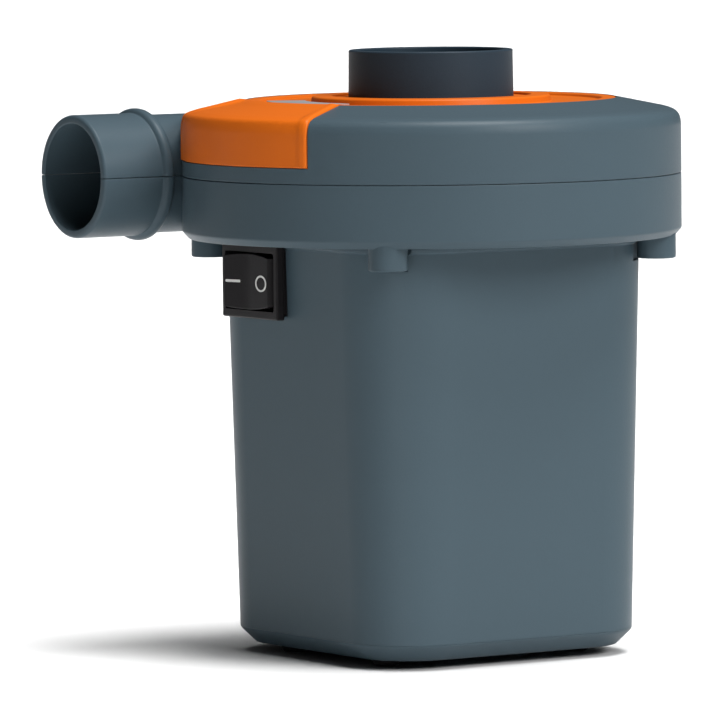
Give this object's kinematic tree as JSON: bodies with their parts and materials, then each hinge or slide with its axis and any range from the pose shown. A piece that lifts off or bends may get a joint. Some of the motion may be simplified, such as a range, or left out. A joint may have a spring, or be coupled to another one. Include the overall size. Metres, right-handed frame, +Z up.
{
  "type": "air mattress pump",
  "caption": "Battery air mattress pump: tapered housing, round fan housing with a side outlet nozzle, top inlet port, orange trim and rocker switch.",
  "frame": {"origin": "centre of the whole object's footprint box, on the surface that the feet stand on", "axes": "+Z up along the impeller's axis, -X the way the outlet nozzle blows and the switch faces, +Y the side that the nozzle and the battery door's hinge are on"},
  "size_m": [0.1258, 0.114, 0.1366],
  "materials": {
    "slate_plastic": "fine spark-eroded satin moulding, slate blue-grey",
    "orange_plastic": "satin orange moulding",
    "charcoal_plastic": "fine matt charcoal moulding",
    "black_plastic": "satin black moulding",
    "white_plastic": "natural white nylon",
    "silver_label": "brushed foil, blank",
    "steel": "plated steel",
    "cell_jacket": "metal can in a plain film jacket",
    "brass": "turned brass",
    "copper_wire": "enamelled copper",
    "carbon": "pressed carbon",
    "ferrite": "sintered ferrite",
    "rubber": "black rubber",
    "red_insulation": "red wire insulation"
  },
  "bodies": {
    "pump_body": {"lower_volute": "slate_plastic", "upper_volute": "slate_plastic", "battery_housing": "slate_plastic", "trim_cover": "orange_plastic", "name_plate": "silver_label", "inlet_port": "charcoal_plastic", "inlet_grille": "charcoal_plastic", "hinge_pin": "steel", "contact_bulkhead": "black_plastic", "top_bridge_contact": "steel", "positive_contact": "steel", "negative_contact": "steel", "top_spring_back": "steel", "top_spring_front": "steel", "positive_lead": "red_insulation", "switch_lead": "red_insulation", "negative_lead": "black_plastic", "switch_bezel": "black_plastic", "switch_terminal_1": "brass", "switch_terminal_2": "brass", "motor_can": "steel", "motor_end_cap": "white_plastic", "motor_screw_back": "steel", "motor_screw_front": "steel", "front_bearing": "brass", "rear_bearing": "brass", "motor_rubber_ring": "rubber", "magnet_right": "ferrite", "magnet_left": "ferrite", "brush_right": "carbon", "brush_left": "carbon", "case_screw_1": "steel", "battery_cell_1": "cell_jacket", "case_screw_2": "steel", "battery_cell_2": "cell_jacket", "case_screw_3": "steel", "battery_cell_3": "cell_jacket", "case_screw_4": "steel", "battery_cell_4": "cell_jacket"},
    "rotor": {"motor_shaft": "steel", "impeller": "white_plastic", "impeller_insert": "brass", "armature_core": "steel", "commutator": "copper_wire", "winding_1": "copper_wire", "winding_2": "copper_wire", "winding_3": "copper_wire"},
    "rocker": {"switch_rocker": "black_plastic"},
    "door": {"battery_door": "slate_plastic", "door_contact_back": "steel", "door_contact_front": "steel", "door_spring_back": "steel", "door_spring_front": "steel", "rubber_foot_1": "rubber", "rubber_foot_2": "rubber", "rubber_foot_3": "rubber", "rubber_foot_4": "rubber"}
  },
  "joints": [
    {"name": "impeller_spin", "type": "hinge", "parent": "pump_body", "child": "rotor", "pos_m": [0.0064, -0.00047, 0.1], "axis": [0, 0, 1], "continuous": true},
    {"name": "rocker_tilt", "type": "hinge", "parent": "pump_body", "child": "rocker", "pos_m": [-0.0307, 0.01192, 0.0852], "axis": [0, 0, -1], "range_deg": [0, 16]},
    {"name": "battery_door_hinge", "type": "hinge", "parent": "pump_body", "child": "door", "pos_m": [0.0064, 0.03882, 0.00575], "axis": [1, 0, 0], "range_deg": [0, 95]}
  ]
}
